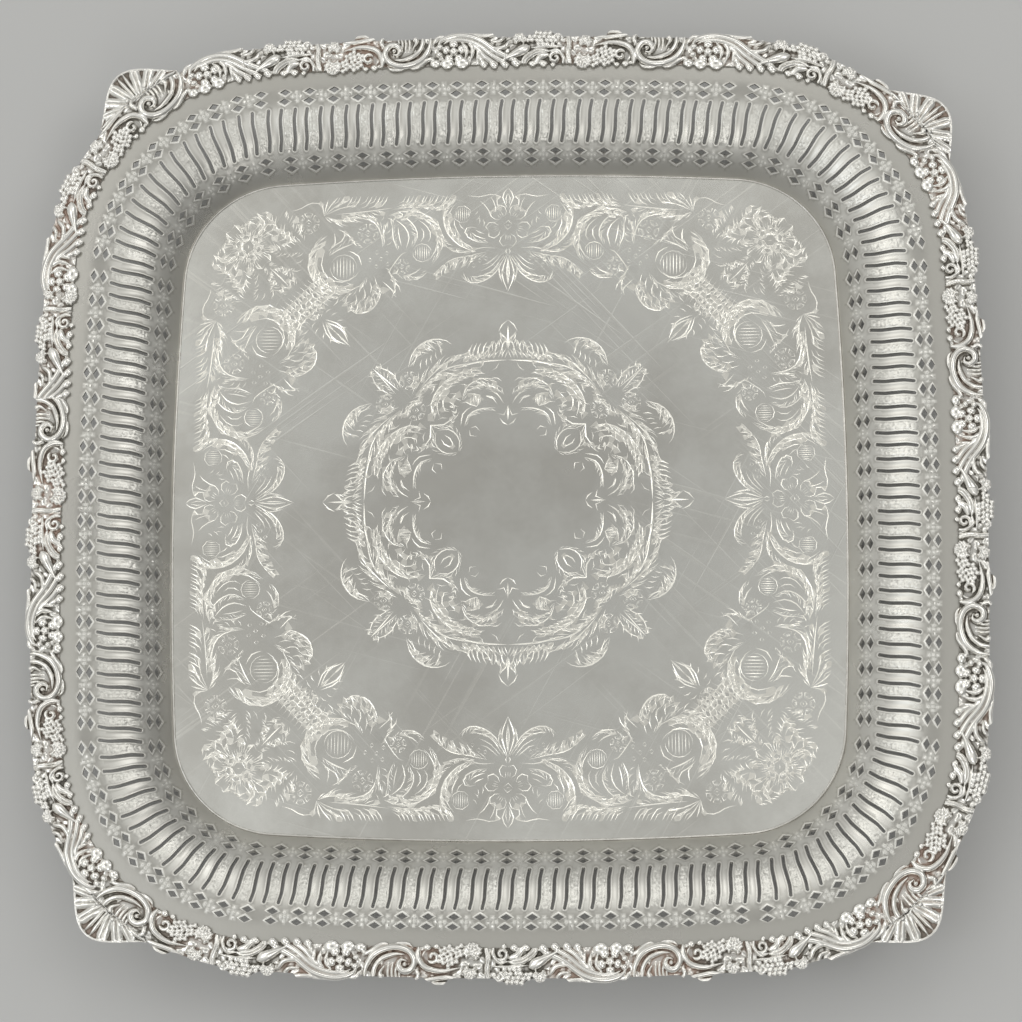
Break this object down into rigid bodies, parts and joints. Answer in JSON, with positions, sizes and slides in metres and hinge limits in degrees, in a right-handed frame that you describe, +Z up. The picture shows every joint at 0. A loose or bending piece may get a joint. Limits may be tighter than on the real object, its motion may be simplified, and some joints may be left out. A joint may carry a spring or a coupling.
{
  "type": "square serving salver",
  "caption": "Square silver-plated serving salver: an engraved flat field, a pierced raised gallery, a cast scroll and vine border, and low cast scroll feet.",
  "frame": {"origin": "centre of the salver, on the plane that its four feet stand on", "axes": "+Z up; +X and +Y along the sides of the square, -Y towards the south side"},
  "size_m": [0.4072, 0.4072, 0.0431],
  "materials": {
    "field_silver": "silver plate, worn satin from use, with bright-cut engraving",
    "gallery_silver": "silver plate, polished, stippled between the pierced slots",
    "cast_silver": "silver plate on cast ornament, dark in the recesses",
    "wire_silver": "silver plate, polished",
    "foot_silver": "silver plate on cast metal, dark in the recesses"
  },
  "bodies": {
    "root": {"field_plate": "field_silver", "field_bead": "wire_silver", "gallery_south": "gallery_silver", "gallery_east": "gallery_silver", "gallery_north": "gallery_silver", "gallery_west": "gallery_silver", "gallery_corner_south_east": "gallery_silver", "gallery_corner_north_east": "gallery_silver", "gallery_corner_north_west": "gallery_silver", "gallery_corner_south_west": "gallery_silver", "border_south_first": "cast_silver", "border_south_second": "cast_silver", "border_east_first": "cast_silver", "border_east_second": "cast_silver", "border_north_first": "cast_silver", "border_north_second": "cast_silver", "border_west_first": "cast_silver", "border_west_second": "cast_silver", "border_corner_south_east": "cast_silver", "border_corner_north_east": "cast_silver", "border_corner_north_west": "cast_silver", "border_corner_south_west": "cast_silver", "corner_crest_south_east": "cast_silver", "corner_crest_north_east": "cast_silver", "corner_crest_north_west": "cast_silver", "corner_crest_south_west": "cast_silver", "rim_wire_south_east": "wire_silver", "rim_wire_north_east": "wire_silver", "rim_wire_north_west": "wire_silver", "rim_wire_south_west": "wire_silver", "foot_south_east": "foot_silver", "foot_north_east": "foot_silver", "foot_north_west": "foot_silver", "foot_south_west": "foot_silver", "foot_pad_south_east": "foot_silver", "foot_pad_north_east": "foot_silver", "foot_pad_north_west": "foot_silver", "foot_pad_south_west": "foot_silver"}
  },
  "joints": []
}
